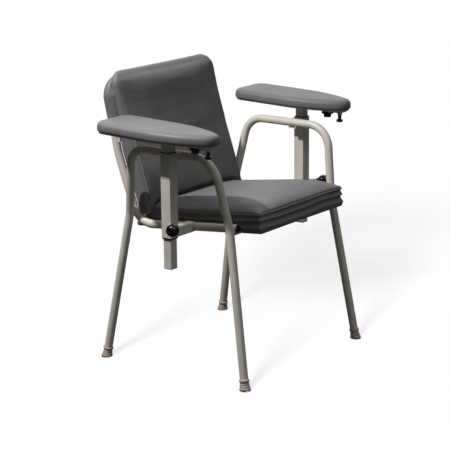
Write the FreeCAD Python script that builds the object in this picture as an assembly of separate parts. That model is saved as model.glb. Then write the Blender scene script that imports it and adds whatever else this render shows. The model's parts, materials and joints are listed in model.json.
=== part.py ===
import FreeCAD, Part
import math
import os

# Phlebotomy chair with two height-adjustable, swivelling arm pads.
# Lengths are in millimetres and angles in degrees.
# The sitter faces -Y, +X is the sitter's left and +Z is up.
# The origin lies on the floor, below the middle of the whole chair.

Vector = FreeCAD.Vector
ORIGIN = Vector(0, 0, 0)
ACROSS = Vector(1, 0, 0)
UPWARD = Vector(0, 0, 1)

# Sizes: shared clearances
weld_gap = 0.2
rest_gap = 0.3
running_fit = 0.08
soft_gap = 0.5
cut_overrun = 5.0

# Share of an edge's length by which it may lean and still count as lying along a direction
aligned_share = 0.2

# Sizes: round frame tube
tube_diameter = 22.2
tube_wall = 1.6

# Sizes: side frames, each one tube bent over from the front foot to the rear foot
foot_flare = 29.2
arch_flare = 27.2
front_foot_y = -247.9
rear_foot_y = 221.5
kink_rise = 16.9
arch_height = 594.5
front_splay = 9.27
rear_splay = 9.82
front_arch_bend = 70.0
rear_arch_bend = 57.0
kink_bend = 60.0

# Sizes: seat rails that turn up into the back uprights
seat_tilt = 5.8
rail_height = 390.1
rail_side_gap = 6.3
rail_front_y = -190.0
rail_bend = 65.0
lower_recline = 20.0
upper_recline = 11.0
recline_bend = 300.0
recline_y = 206.1
hoop_height = 738.0
hoop_joint_drop = 62.0
hoop_bend = 50.0

# Places along the uprights, as shares of their rise from the seat rails to the hoop
recline_share = 0.4884
lower_back_strap_share = 0.2297

# Sizes: plugs in the rails' front ends
rail_plug_depth = 12.0
rail_plug_head = 2.5

# Sizes: flat straps across the rails and the uprights
strap_width = 32.0
strap_thickness = 5.0
strap_end = 4.0
upper_back_strap_drop = 28.0
front_strap_y = -168.0
rear_strap_y = 38.0

# Sizes: rubber feet
foot_height = 29.0
foot_base_radius = 15.0
foot_waist_radius = 12.7
foot_rim_radius = 13.5
foot_rim_height = 6.0
foot_base_height = 5.0
foot_sole = 8.0
foot_below = 8.0

# Sizes: arm post and the sleeve that it slides in
post_reach = 65.2
post_y = -38.1
post_side = 25.4
post_wall = 2.0
post_corner = 2.0
post_overhang = 82.5
sleeve_side = 31.75
sleeve_wall = 1.65
sleeve_corner = 2.5
sleeve_foot = 10.5
sleeve_rise = 11.0
glide_length = 24.0
glide_lip = 4.0
glide_lip_width = 1.0
plug_head = 1.5
plug_depth = 12.0

# Sizes: square brackets between sleeve and frame
bracket_side = 25.4
bracket_wall = 1.6
bracket_corner = 2.0
lower_bracket_rise = 4.9
upper_bracket_drop = 2.5
saddle_reach = 9.0

# Sizes: height clamp on the sleeve's outer front corner
clamp_rise = 22.4
boss_radius = 6.5
boss_length = 21.6
stud_radius = 4.0
slug_length = 6.0
slug_notch = 0.6
ball_radius = 17.0
ball_distance = 63.5
ball_neck_radius = 8.5
ball_bore_depth = 12.0

# Sizes: arm pad, its board and base plate
pad_width = 140.0
pad_front_reach = 178.0
pad_rear_reach = 178.0
pad_nose_radius = 36.0
pad_tail_corner = 38.0
pad_centre_y = -16.4
pad_height = 30.0
pad_board_height = 9.0
pad_board_inset = 9.0
plate_thickness = 3.0
plate_inset = 5.0
plate_clearance = 35.2

# Sizes: carrier bar and its clamp
bar_width = 44.0
bar_thickness = 5.0
bar_rear_reach = 22.0
bar_front_reach = 14.0
pivot_y = -125.3
pivot_radius = 5.0
pivot_head_radius = 11.0
pivot_head_height = 4.0
pivot_end = 14.0
washer_radius = 12.5
washer_thickness = 1.6
knob_flange_radius = 16.2
knob_flange_height = 7.5
knob_hub_radius = 10.5
knob_hub_end_radius = 10.2
knob_hub_height = 9.5
knob_flutes = 8
knob_flute_radius = 4.0

# Sizes: locking plunger in the carrier bar
plunger_y = -165.9
pin_radius = 2.5
pin_tip_gap = 0.5
pin_shoulder_radius = 3.6
pin_shoulder_height = 1.5
housing_radius = 6.5
housing_drop = 9.0
housing_floor = 1.4
housing_cap = 2.0
barrel_radius = 5.2
spring_radius = 3.4
pull_stem_radius = 4.8
pull_stem_length = 11.5
pull_flange_radius = 9.0
pull_flange_height = 7.5
pad_swing = 45.0
pad_tilt = 1.5

# Sizes: seat cushion and board, in the tilted plane of the rails
seat_width = 386.0
seat_front = 252.7
seat_rear = 167.3
seat_corner = 8.0
seat_side_height = 53.0
seat_crown = 23.0
seat_crown_fall = 9.2
seat_drawn_in = 2.5
seat_lip = 5.0
seat_board_thickness = 12.0
seat_board_inset = 11.0

# Sizes: back cushions and board
back_side_overhang = 2.6
back_low_rise = 13.9
back_high_rise = 34.0
back_corner = 40.0
back_thickness = 51.0
back_side_share = 0.78
back_edge_rounding = 6.0
back_board_thickness = 10.0
back_board_inset = 11.0
back_board_low_inset = 32.0
back_board_high_inset = 20.0
rear_pad_overhang = 15.6
rear_pad_edge = 12.0
rear_pad_drop = 105.0
rear_pad_rise = 25.0
rear_pad_side = 16.5
rear_pad_crown = 25.0
rear_pad_corner = 58.0

# Sizes: screws
screw_radius = 2.6
screw_head_radius = 5.5
screw_head_height = 2.6
screw_bite = 7.0
seat_screw_x = 120.0
back_screw_x = 130.0
plate_screw_radius = 2.0
plate_screw_head_radius = 4.0
plate_screw_head_height = 1.2
plate_screw_bite = 6.0
plate_screw_x = 44.0
front_plate_screw_y = -80.0
rear_plate_screw_y = 110.0

# Values that follow from the sizes
tube_radius = tube_diameter / 2
rail_x = seat_width / 2 + rail_side_gap + tube_radius
kink_x = rail_x + tube_diameter + weld_gap
foot_x = kink_x + foot_flare
arch_x = kink_x + arch_flare
post_x = kink_x + post_reach
kink_height = rail_height + kink_rise
lower_bracket_height = rail_height + lower_bracket_rise
upper_bracket_height = arch_height - upper_bracket_drop
clamp_height = lower_bracket_height + clamp_rise
sleeve_low = lower_bracket_height - sleeve_foot
sleeve_high = arch_height + sleeve_rise
post_low = sleeve_low - post_overhang
plate_height = sleeve_high + plate_clearance
upright_rise = hoop_height - rail_height
recline_height = rail_height + recline_share * upright_rise
lower_back_strap_height = rail_height + lower_back_strap_share * upright_rise
hoop_joint_height = hoop_height - hoop_joint_drop
back_width = (rail_x + back_side_overhang) * 2
back_low = rail_height + back_low_rise
back_high = hoop_height + back_high_rise
back_board_low = back_low + back_board_low_inset
back_board_high = back_high - back_board_high_inset
rear_pad_width = (rail_x + rear_pad_overhang) * 2
rear_pad_low = hoop_height - rear_pad_drop
rear_pad_high = hoop_height + rear_pad_rise
upper_back_strap_height = rear_pad_low - upper_back_strap_drop
back_offset = tube_radius + weld_gap + strap_thickness
seat_bottom = -(tube_radius + weld_gap)
bar_top = plate_height - rest_gap
bar_bottom = bar_top - bar_thickness
pad_bottom = plate_height + plate_thickness
front_slope = math.tan(math.radians(front_splay))
rear_slope = math.tan(math.radians(rear_splay))
seat_slope = math.tan(math.radians(seat_tilt))


def mirrored(shape):
    """The same piece on the other side of the chair's middle plane."""
    return shape.mirror(ORIGIN, ACROSS)


def rounded_path(points, radii):
    """A wire through the points, with every inner corner turned by its radius."""
    edges = []
    start = points[0]
    for before, corner, after, radius in zip(points, points[1:], points[2:], radii):
        back = (before - corner).normalize()
        ahead = (after - corner).normalize()
        half_turn = (math.pi - back.getAngle(ahead)) / 2
        reach = radius * math.tan(half_turn)
        inward = (back + ahead).normalize()
        middle = corner + inward * (radius / math.cos(half_turn) - radius)
        leave = corner + back * reach
        join = corner + ahead * reach
        edges.append(Part.makeLine(start, leave))
        edges.append(Part.Arc(leave, middle, join).toShape())
        start = join
    edges.append(Part.makeLine(start, points[-1]))
    return Part.Wire(edges)


def bent_bar(points, radii, radius):
    """A solid round bar along the rounded path."""
    ring = Part.Wire([Part.makeCircle(radius, points[0], points[1] - points[0])])
    return rounded_path(points, radii).makePipeShell([ring], True, False)


def bent_tube(points, radii):
    """A hollow frame tube along the rounded path."""
    outer = bent_bar(points, radii, tube_radius)
    return outer.cut(bent_bar(points, radii, tube_radius - tube_wall))


def edges_along(shape, direction):
    """The straight edges of a shape that run along a direction."""
    found = []
    for edge in shape.Edges:
        run = edge.Vertexes[-1].Point - edge.Vertexes[0].Point
        if run.Length and run.cross(direction).Length < run.Length * aligned_share:
            found.append(edge)
    return found


def column(side, corner, low, high):
    """An upright square bar on the arm post's axis, with rounded corners."""
    block = Part.makeBox(side, side, high - low, Vector(post_x - side / 2, post_y - side / 2, low))
    return block.makeFillet(corner, edges_along(block, UPWARD))


def cross_bar(start_x, end_x, middle_z, side, corner):
    """A level square bar along X, level with the arm post in Y."""
    block = Part.makeBox(end_x - start_x, side, side, Vector(start_x, post_y - side / 2, middle_z - side / 2))
    return block.makeFillet(corner, edges_along(block, ACROSS))


def disc(centre, radius, low, high):
    """An upright round disc or pin between two heights."""
    return Part.makeCylinder(radius, high - low, Vector(centre.x, centre.y, low), UPWARD)


# Side frames

def leg_point(foot_y, slope, height):
    """A point of a leg's centre line, at or below the kink."""
    x = foot_x + (kink_x - foot_x) * height / kink_height
    return Vector(x, foot_y + slope * height, height)


def side_frame_points():
    """Corners of the left side frame's centre line, from the front foot to the rear foot."""
    return [
        leg_point(front_foot_y, front_slope, foot_sole),
        leg_point(front_foot_y, front_slope, kink_height),
        Vector(arch_x, front_foot_y + front_slope * arch_height, arch_height),
        Vector(arch_x, rear_foot_y - rear_slope * arch_height, arch_height),
        leg_point(rear_foot_y, -rear_slope, kink_height),
        leg_point(rear_foot_y, -rear_slope, foot_sole),
    ]


def side_frame_bends():
    return [kink_bend, front_arch_bend, rear_arch_bend, kink_bend]


def side_frame():
    return bent_tube(side_frame_points(), side_frame_bends())


def rubber_foot(foot_y, slope):
    """A flared rubber tip on a leg's end, cut level where it stands on the floor."""
    base = leg_point(foot_y, slope, 0)
    leg = (leg_point(foot_y, slope, kink_height) - base).normalize()
    outline = [
        Vector(0, 0, -foot_below),
        Vector(foot_base_radius, 0, -foot_below),
        Vector(foot_base_radius, 0, foot_base_height),
        Vector(foot_waist_radius, 0, foot_height - foot_rim_height),
        Vector(foot_rim_radius, 0, foot_height - foot_rim_height / 2),
        Vector(foot_waist_radius, 0, foot_height),
        Vector(0, 0, foot_height),
    ]
    face = Part.Face(Part.makePolygon(outline + outline[:1]))
    tip = face.revolve(ORIGIN, UPWARD, 360)
    tip.Placement = FreeCAD.Placement(base, FreeCAD.Rotation(UPWARD, leg))
    span = foot_height + foot_base_radius
    floor_cut = Part.makeBox(span * 2, span * 2, span, Vector(base.x - span, base.y - span, -span))
    tube_end = leg_point(foot_y, slope, foot_sole)
    socket = Part.makeCylinder(tube_radius, foot_height * 2, tube_end, leg)
    return tip.cut(floor_cut).cut(socket)


# Seat rails and back uprights

def recline_ends():
    """Heights at which the uprights' bend between the two reclines starts and ends."""
    low = math.radians(90 - lower_recline)
    high = math.radians(90 - upper_recline)
    reach = recline_bend * math.tan((high - low) / 2)
    return recline_height - reach * math.sin(low), recline_height + reach * math.sin(high)


def back_station(height):
    """Place (y, z) of the upright's centre line at a height, and its angle from level."""
    low = math.radians(90 - lower_recline)
    high = math.radians(90 - upper_recline)
    reach = recline_bend * math.tan((high - low) / 2)
    low_end, high_end = recline_ends()
    if height <= low_end:
        return recline_y - (recline_height - height) / math.tan(low), height, low
    if height >= high_end:
        return recline_y + (height - recline_height) / math.tan(high), height, high
    centre_y = recline_y - reach * math.cos(low) - recline_bend * math.sin(low)
    centre_z = low_end + recline_bend * math.cos(low)
    swing = math.asin((height - centre_z) / recline_bend)
    return centre_y + recline_bend * math.cos(swing), height, swing + math.pi / 2


def back_point(x, height, forward):
    """A point beside the uprights' line, moved square to it towards the sitter."""
    y, z, angle = back_station(height)
    return Vector(x, y - math.sin(angle) * forward, z + math.cos(angle) * forward)


def rail_point(x, y):
    return Vector(x, y, rail_height - seat_slope * y)


def seat_rail():
    """The left seat rail, turned up at the back into its upright."""
    lean = math.tan(math.radians(lower_recline))
    corner_y = (recline_y - (recline_height - rail_height) * lean) / (1 + seat_slope * lean)
    points = [
        rail_point(rail_x, rail_front_y),
        rail_point(rail_x, corner_y),
        Vector(rail_x, recline_y, recline_height),
        back_point(rail_x, hoop_joint_height, 0),
    ]
    return bent_tube(points, [rail_bend, recline_bend])


def hoop_points():
    return [
        back_point(rail_x, hoop_joint_height, 0),
        back_point(rail_x, hoop_height, 0),
        back_point(-rail_x, hoop_height, 0),
        back_point(-rail_x, hoop_joint_height, 0),
    ]


def top_hoop():
    """The tube that joins the two uprights across the top, inside the rear pad."""
    return bent_tube(hoop_points(), [hoop_bend, hoop_bend])


def in_seat_plane(shape):
    """Moves a piece from the level into the tilted plane of the rails' centre lines."""
    shape.Placement = FreeCAD.Placement(Vector(0, 0, rail_height), FreeCAD.Rotation(ACROSS, -seat_tilt))
    return shape


def seat_strap(middle_y):
    """A flat strap under both rails, which the seat board is screwed to."""
    half = rail_x + strap_end
    low = seat_bottom - strap_thickness
    corner = Vector(-half, middle_y - strap_width / 2, low)
    block = Part.makeBox(half * 2, strap_width, strap_thickness, corner)
    for screw_x in (-seat_screw_x, seat_screw_x):
        start = Vector(screw_x, middle_y, low)
        block = block.cut(Part.makeCylinder(screw_radius, strap_thickness, start))
    return in_seat_plane(block)


def seat_straps():
    """The front and rear straps of the seat."""
    return Part.makeCompound([seat_strap(front_strap_y), seat_strap(rear_strap_y)])


def back_strap(height):
    """A flat strap across the fronts of both uprights, which the back board is screwed to."""
    half = rail_x + strap_end
    block = Part.makeBox(half * 2, strap_thickness, strap_width,
                         Vector(-half, -back_offset, -strap_width / 2))
    for screw_x in (-back_screw_x, back_screw_x):
        start = Vector(screw_x, -back_offset, 0)
        block = block.cut(Part.makeCylinder(screw_radius, strap_thickness, start, Vector(0, 1, 0)))
    return at_back(block, height)


def back_straps():
    """The lower and upper straps of the back."""
    return Part.makeCompound([back_strap(lower_back_strap_height), back_strap(upper_back_strap_height)])


def at_back(shape, height):
    """Moves a piece made upright at the origin to the uprights' line at a height."""
    y, z, angle = back_station(height)
    turn = FreeCAD.Rotation(ACROSS, math.degrees(angle) - 90)
    shape.Placement = FreeCAD.Placement(Vector(0, y, z), turn)
    return shape


# Sleeve, brackets, glides and height clamp

def clamp_point(distance):
    """A point on the height clamp's axis, at a distance from the arm post's axis."""
    return Vector(post_x, post_y, clamp_height) + clamp_direction() * distance


def clamp_direction():
    return Vector(1, -1, 0).normalize()


def clamp_rod(radius, near, far):
    """A round rod on the height clamp's axis."""
    return Part.makeCylinder(radius, far - near, clamp_point(near), clamp_direction())


def sleeve():
    """The square sleeve, with the clamp's hole through its outer front corner."""
    outer = column(sleeve_side, sleeve_corner, sleeve_low, sleeve_high)
    bore_side = sleeve_side - sleeve_wall * 2
    bore_corner = sleeve_corner - sleeve_wall
    bore = column(bore_side, bore_corner, sleeve_low - cut_overrun, sleeve_high + cut_overrun)
    return outer.cut(bore).cut(clamp_rod(stud_radius + running_fit, 0, sleeve_side))


def glide(low, high, lip_low, lip_high):
    """A plastic liner in one end of the sleeve, with a lip that covers part of the wall's end."""
    bore = sleeve_side - sleeve_wall * 2
    liner = column(bore, sleeve_corner - sleeve_wall, low, high)
    lip = column(bore + glide_lip_width * 2, sleeve_corner, lip_low, lip_high)
    slide = column(post_side + rest_gap * 2, post_corner, lip_low - sleeve_side, lip_high + sleeve_side)
    return liner.fuse(lip).cut(slide).removeSplitter()


def glides():
    """The lower and upper plastic liners that guide the arm post."""
    lower = glide(sleeve_low, sleeve_low + glide_length, sleeve_low - glide_lip, sleeve_low)
    upper = glide(sleeve_high - glide_length, sleeve_high, sleeve_high, sleeve_high + glide_lip / 2)
    return Part.makeCompound([lower, upper])


def bracket_tube(start_x, end_x, middle_z):
    """A hollow square bracket between two places in X."""
    outer = cross_bar(start_x, end_x, middle_z, bracket_side, bracket_corner)
    hollow = bracket_side - bracket_wall * 2
    return outer.cut(cross_bar(start_x - cut_overrun, end_x + cut_overrun, middle_z, hollow,
                               bracket_corner - bracket_wall))


def lower_bracket():
    """The bracket from the seat rail out to the foot of the sleeve, coped round the rail."""
    blank = bracket_tube(rail_x, post_x - sleeve_side / 2, lower_bracket_height)
    heading = rail_point(rail_x, rail_front_y) - rail_point(rail_x, 0)
    start = rail_point(rail_x, -rail_front_y)
    return blank.cut(Part.makeCylinder(tube_radius + weld_gap, heading.Length * 2, start, heading))


def upper_bracket():
    """The short bracket from the head of the sleeve, with a saddle that the arch lies in."""
    blank = bracket_tube(arch_x - saddle_reach, post_x - sleeve_side / 2, upper_bracket_height)
    radius = tube_radius + weld_gap
    start = Vector(arch_x, post_y - sleeve_side, arch_height)
    seat = Part.makeCylinder(radius, sleeve_side * 2, start, Vector(0, 1, 0))
    way_in = Part.makeBox(radius * 2, sleeve_side * 2, bracket_side, start - Vector(radius, 0, 0))
    return blank.cut(seat).cut(way_in)


def clamp_boss():
    """The threaded boss on the sleeve's corner."""
    outer_corner = corner_distance(sleeve_side, sleeve_corner)
    rod = clamp_rod(boss_radius, 0, outer_corner + boss_length)
    rod = rod.cut(column(sleeve_side, sleeve_corner, sleeve_low, sleeve_high))
    return rod.cut(clamp_rod(stud_radius + running_fit, 0, sleeve_side + boss_length * 2))


def corner_distance(side, corner):
    """Distance from the post's axis to the rounded corner of a square on it."""
    return (side / 2 - corner) * math.sqrt(2) + corner


def slug_start():
    return corner_distance(post_side, post_corner) - slug_notch


def clamp_slug():
    """The plastic slug that the screw presses on the post's corner."""
    rod = clamp_rod(stud_radius, slug_start(), slug_start() + slug_length)
    return rod.cut(column(post_side + rest_gap * 2, post_corner, post_low, bar_top))


def clamp_stud():
    """The screw of the height clamp."""
    return clamp_rod(stud_radius, slug_start() + slug_length + rest_gap, stud_end())


def stud_end():
    return ball_distance - ball_radius + ball_bore_depth


def clamp_ball():
    """The ball knob, with a short neck towards the boss and a blind hole for the screw."""
    near = corner_distance(sleeve_side, sleeve_corner) + boss_length + rest_gap
    ball = Part.makeSphere(ball_radius, clamp_point(ball_distance))
    neck = clamp_rod(ball_neck_radius, near, ball_distance)
    return ball.fuse(neck).cut(clamp_rod(stud_radius, near, stud_end())).removeSplitter()


# Arm post and carrier bar

def tilted(shape):
    """Tips a piece made on a level arm post, so that the arm pad falls a little towards the front."""
    shape.rotate(Vector(post_x, post_y, bar_bottom), ACROSS, pad_tilt)
    return shape


def arm_post():
    """The square tube that carries the armrest, cut off to the tilt of the carrier bar."""
    outer = column(post_side, post_corner, post_low, bar_top)
    inside = column(post_side - post_wall * 2, post_wall / 2, post_low - cut_overrun, bar_top + cut_overrun)
    corner = Vector(post_x - post_side, post_y - post_side, bar_bottom)
    above = tilted(Part.makeBox(post_side * 2, post_side * 2, post_side, corner))
    return outer.cut(inside).cut(above)


def post_plug():
    """The plastic plug in the post's lower end."""
    inside = post_side - post_wall * 2
    stem = column(inside, post_wall / 2, post_low, post_low + plug_depth)
    head = column(post_side, post_corner, post_low - plug_head, post_low)
    return stem.fuse(head).removeSplitter()


def pivot_centre():
    return Vector(post_x, pivot_y, 0)


def plunger_centre():
    return Vector(post_x, plunger_y, 0)


def carrier_bar():
    """The flat bar on the post's top, under the arm pad, with the pivot's and plunger's holes."""
    rear = post_y + bar_rear_reach
    front = plunger_y - bar_front_reach
    corner = Vector(post_x - bar_width / 2, front, bar_bottom)
    block = Part.makeBox(bar_width, rear - front, bar_thickness, corner)
    block = block.makeFillet(bar_width / 3, edges_along(block, UPWARD))
    block = block.cut(disc(pivot_centre(), pivot_radius + running_fit, bar_bottom, bar_top))
    return block.cut(disc(plunger_centre(), barrel_radius, bar_bottom, bar_top))


def plunger_housing():
    """The barrel of the locking plunger, fixed in the carrier bar."""
    centre = plunger_centre()
    floor = bar_bottom - housing_drop
    body = disc(centre, housing_radius, floor, bar_bottom)
    body = body.fuse(disc(centre, barrel_radius, bar_bottom, bar_top))
    chamber_top = bar_top - housing_cap
    body = body.cut(disc(centre, pin_shoulder_radius + rest_gap, floor + housing_floor, chamber_top))
    return body.cut(disc(centre, pin_radius + running_fit, floor, bar_top)).removeSplitter()


def pin_tip():
    return plate_height + plate_thickness - pin_tip_gap


def pin_shoulder_top():
    return bar_top - housing_cap - rest_gap


def plunger_pin():
    """The steel pin that locks the pad's base plate."""
    centre = plunger_centre()
    floor = bar_bottom - housing_drop
    low = floor - rest_gap - pull_stem_length / 2
    pin = disc(centre, pin_radius, low, pin_tip())
    shoulder = disc(centre, pin_shoulder_radius, pin_shoulder_top() - pin_shoulder_height, pin_shoulder_top())
    return pin.fuse(shoulder)


def plunger_spring():
    """The outer shape of the coil spring that pushes the pin up."""
    centre = plunger_centre()
    low = bar_bottom - housing_drop + housing_floor
    high = pin_shoulder_top() - pin_shoulder_height
    return disc(centre, spring_radius, low, high).cut(disc(centre, pin_radius + rest_gap, low, high))


def plunger_pull():
    """The black pull on the pin's lower end: a stem with a round flange."""
    centre = plunger_centre()
    top = bar_bottom - housing_drop - rest_gap
    waist = top - pull_stem_length
    low = waist - pull_flange_height
    stem = disc(centre, pull_stem_radius, waist, top)
    flange = disc(centre, pull_flange_radius, low, waist)
    edges = [edge for edge in flange.Edges if len(edge.Vertexes) == 1]
    flange = flange.makeFillet(pull_flange_height / 3, edges)
    socket = disc(centre, pin_radius, top - pull_stem_length / 2, top)
    return stem.fuse(flange).cut(socket)


def pivot_washer():
    low = bar_bottom - washer_thickness
    ring = disc(pivot_centre(), washer_radius, low, bar_bottom)
    return ring.cut(disc(pivot_centre(), pivot_radius + running_fit, low, bar_bottom))


def knob_top():
    return bar_bottom - washer_thickness - rest_gap


def clamp_knob():
    """The fluted knob under the pad, with a narrower hub below its flange."""
    top = knob_top()
    waist = top - knob_flange_height
    low = waist - knob_hub_height
    centre = pivot_centre()
    flange = disc(centre, knob_flange_radius, waist, top)
    for step in range(knob_flutes):
        angle = 2 * math.pi * step / knob_flutes
        reach = knob_flange_radius + knob_flute_radius / 2
        flute = Vector(centre.x + math.cos(angle) * reach, centre.y + math.sin(angle) * reach, 0)
        flange = flange.cut(disc(flute, knob_flute_radius, waist, top))
    start = Vector(centre.x, centre.y, waist)
    hub = Part.makeCone(knob_hub_radius, knob_hub_end_radius, knob_hub_height, start, -UPWARD)
    bore = disc(centre, pivot_radius + running_fit, top - pivot_end, top)
    return flange.fuse(hub).cut(bore).removeSplitter()


# Arm pad

def pad_outline(inset, height):
    """The pad's outline in plan: a long rounded nose at the front and a squarer tail, all tangent."""
    half = pad_width / 2 - inset
    reach = pad_front_reach - inset
    nose = pad_nose_radius - inset
    tail = pad_rear_reach - inset
    corner = max(pad_tail_corner - inset, pad_tail_corner / 2)
    nose_y = nose - reach
    side_radius = (half ** 2 + nose_y ** 2 - nose ** 2) / (2 * (half - nose))
    side_centre = half - side_radius
    lean = math.atan2(-nose_y, -side_centre)
    half_lean = lean / 2

    def at(x, y):
        return Vector(post_x + x, pad_centre_y + y, height)

    turn_x = math.cos(lean) * nose
    turn_y = nose_y - math.sin(lean) * nose
    middle_x = side_centre + side_radius * math.cos(half_lean)
    middle_y = -side_radius * math.sin(half_lean)
    bend = corner * (1 - math.sqrt(0.5))
    edges = [
        Part.Arc(at(-turn_x, turn_y), at(0, -reach), at(turn_x, turn_y)).toShape(),
        Part.Arc(at(turn_x, turn_y), at(middle_x, middle_y), at(half, 0)).toShape(),
        Part.makeLine(at(half, 0), at(half, tail - corner)),
        Part.Arc(at(half, tail - corner), at(half - bend, tail - bend), at(half - corner, tail)).toShape(),
        Part.makeLine(at(half - corner, tail), at(corner - half, tail)),
        Part.Arc(at(corner - half, tail), at(bend - half, tail - bend), at(-half, tail - corner)).toShape(),
        Part.makeLine(at(-half, tail - corner), at(-half, 0)),
        Part.Arc(at(-half, 0), at(-middle_x, middle_y), at(-turn_x, turn_y)).toShape(),
    ]
    return Part.Wire(edges)


def pad_slab(inset, low, high):
    """A flat slab with the pad's outline."""
    return Part.Face(pad_outline(inset, low)).extrude(Vector(0, 0, high - low))


# How far the pad's outline steps in (share of the pad's height) at shares of its height.
pad_level_shares = [
    (0.0, 0.16), (0.12, 0.04), (0.36, 0.0), (0.6, 0.05), (0.8, 0.22), (0.93, 0.5), (1.0, 0.95),
]


def pad_cushion():
    """The padded armrest: rounded sides and a crowned top, with a recess for its board."""
    levels = [pad_outline(inset * pad_height, pad_bottom + height * pad_height)
              for height, inset in pad_level_shares]
    cushion = Part.makeLoft(levels, True, False)
    recess = pad_slab(pad_board_inset - soft_gap, pad_bottom, pad_bottom + pad_board_height + soft_gap)
    return cushion.cut(recess)


def plate_screw_points():
    """Places of the four screws that hold the base plate to the pad's board."""
    return [Vector(post_x + x, pad_centre_y + y, 0)
            for x in (-plate_screw_x, plate_screw_x)
            for y in (front_plate_screw_y, rear_plate_screw_y)]


def pad_board():
    """The wooden board inside the armrest."""
    board = pad_slab(pad_board_inset, pad_bottom, pad_bottom + pad_board_height)
    pocket_top = pad_bottom + pivot_head_height + rest_gap
    board = board.cut(disc(pivot_centre(), pivot_head_radius + rest_gap, pad_bottom, pocket_top))
    for place in plate_screw_points():
        board = board.cut(disc(place, plate_screw_radius, pad_bottom, pad_bottom + plate_screw_bite))
    return board


def swing_slot(low, high):
    """The curved slot that the plunger's pin runs in when the pad swings out."""
    reach = pivot_y - plunger_y
    width = pin_radius + rest_gap
    start = Vector(post_x + reach - width, pivot_y, low)
    section = Part.Face(Part.makePolygon([
        start,
        start + Vector(width * 2, 0, 0),
        start + Vector(width * 2, 0, high - low),
        start + Vector(0, 0, high - low),
        start,
    ]))
    arc = section.revolve(pivot_centre(), UPWARD, pad_swing)
    centre = pivot_centre()
    ends = [Vector(centre.x + reach, centre.y, 0),
            Vector(centre.x + reach * math.cos(math.radians(pad_swing)),
                   centre.y + reach * math.sin(math.radians(pad_swing)), 0)]
    slot = arc.fuse([disc(end, width, low, high) for end in ends])
    slot.rotate(centre, UPWARD, -90)
    return slot


def base_plate():
    """The painted steel plate under the armrest, with the pivot's hole and the swing slot."""
    plate = pad_slab(plate_inset, plate_height, pad_bottom)
    plate = plate.cut(disc(pivot_centre(), pivot_radius, plate_height, pad_bottom))
    plate = plate.cut(swing_slot(plate_height, pad_bottom))
    for place in plate_screw_points():
        plate = plate.cut(disc(place, plate_screw_radius, plate_height, pad_bottom))
        plate = plate.cut(disc(place, plate_screw_head_radius, plate_height, plate_head_top()))
    return plate


def plate_head_top():
    """Height of the top of the base plate's screw heads, which lie flush in its underside."""
    return plate_height + plate_screw_head_height


def plate_screws():
    """The four screws of the base plate, with thin heads let into its underside."""
    screws = []
    for place in plate_screw_points():
        stem = disc(place, plate_screw_radius, plate_height, pad_bottom + plate_screw_bite)
        head = disc(place, plate_screw_head_radius, plate_height, plate_head_top())
        screws.append(stem.fuse(head).removeSplitter())
    return Part.makeCompound(screws)


def pivot_bolt():
    """The bolt that the pad swings on: head in the board, shank down into the knob."""
    centre = pivot_centre()
    low = knob_top() - pivot_end + rest_gap
    shank = disc(centre, pivot_radius, low, pad_bottom)
    return shank.fuse(disc(centre, pivot_head_radius, pad_bottom, pad_bottom + pivot_head_height))


# Seat

def seat_outline(inset, height, fall=0):
    """The seat's outline: four corners, sides drawn in between them, and a fall towards the rear."""
    half = seat_width / 2 - inset
    front = inset - seat_front
    rear = seat_rear - inset
    corner = seat_corner
    bend = corner * (1 - math.sqrt(0.5))
    middle = (front + rear) / 2
    pull = seat_drawn_in
    slope = fall * 2 / (seat_front + seat_rear)

    def at(x, y):
        return Vector(x, y, height - slope * (y - middle))

    corners = [
        [at(half - corner, front), at(half - bend, front + bend), at(half, front + corner)],
        [at(half, rear - corner), at(half - bend, rear - bend), at(half - corner, rear)],
        [at(corner - half, rear), at(bend - half, rear - bend), at(-half, rear - corner)],
        [at(-half, front + corner), at(bend - half, front + bend), at(corner - half, front)],
    ]
    waists = [at(half - pull, middle), at(0, rear - pull), at(pull - half, middle), at(0, front + pull)]
    edges = []
    for bent, waist, following in zip(corners, waists, corners[1:] + corners[:1]):
        edges.append(Part.Arc(*bent).toShape())
        edges.append(Part.Arc(bent[-1], waist, following[0]).toShape())
    return Part.Wire(edges)


# Steps of the seat's side (shares of its side height): height, and how far the outline steps in.
seat_side_shares = [(0.0, 0.2), (0.09, 0.05), (0.3, 0.0), (0.47, 0.1), (0.64, 0.01), (0.9, 0.02), (1.0, 0.07)]
# Steps of the seat's crown: share of the crown's height, and of the half width that is left out.
seat_crown_shares = [(0.5, 0.085), (0.85, 0.21), (1.0, 0.45)]


def seat_body(extra):
    """The seat cushion's whole outer form, raised by an extra height on top."""
    foot = seat_bottom - seat_lip
    levels = [seat_outline(inset * seat_side_height, foot + height * seat_side_height)
              for height, inset in seat_side_shares]
    top = foot + seat_side_height
    span = seat_width / 2 - seat_corner
    for height, inset in seat_crown_shares:
        level = top + height * (seat_crown + extra)
        levels.append(seat_outline(inset * span, level, height * seat_crown_fall))
    return Part.makeLoft(levels, True, True)


def seat_slab(inset, low, high):
    return Part.Face(seat_outline(inset, low)).extrude(Vector(0, 0, high - low))


def seat_cushion():
    """The box cushion of the seat, with a recess for its board and a lip only before the straps."""
    top = seat_bottom + seat_board_thickness + soft_gap
    cushion = seat_body(0).cut(seat_slab(seat_board_inset - soft_gap, seat_bottom, top))
    start_y = front_strap_y - strap_width / 2 - soft_gap
    low = seat_bottom - seat_lip - cut_overrun
    behind = Part.makeBox(seat_width * 2, seat_front + seat_rear, seat_bottom + soft_gap - low,
                          Vector(-seat_width, start_y, low))
    return in_seat_plane(cushion.cut(behind))


def seat_board():
    board = seat_slab(seat_board_inset, seat_bottom, seat_bottom + seat_board_thickness)
    for screw_x in (-seat_screw_x, seat_screw_x):
        for screw_y in (front_strap_y, rear_strap_y):
            start = Vector(screw_x, screw_y, seat_bottom)
            board = board.cut(Part.makeCylinder(screw_radius, screw_bite, start))
    return in_seat_plane(board)


# Back

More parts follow.
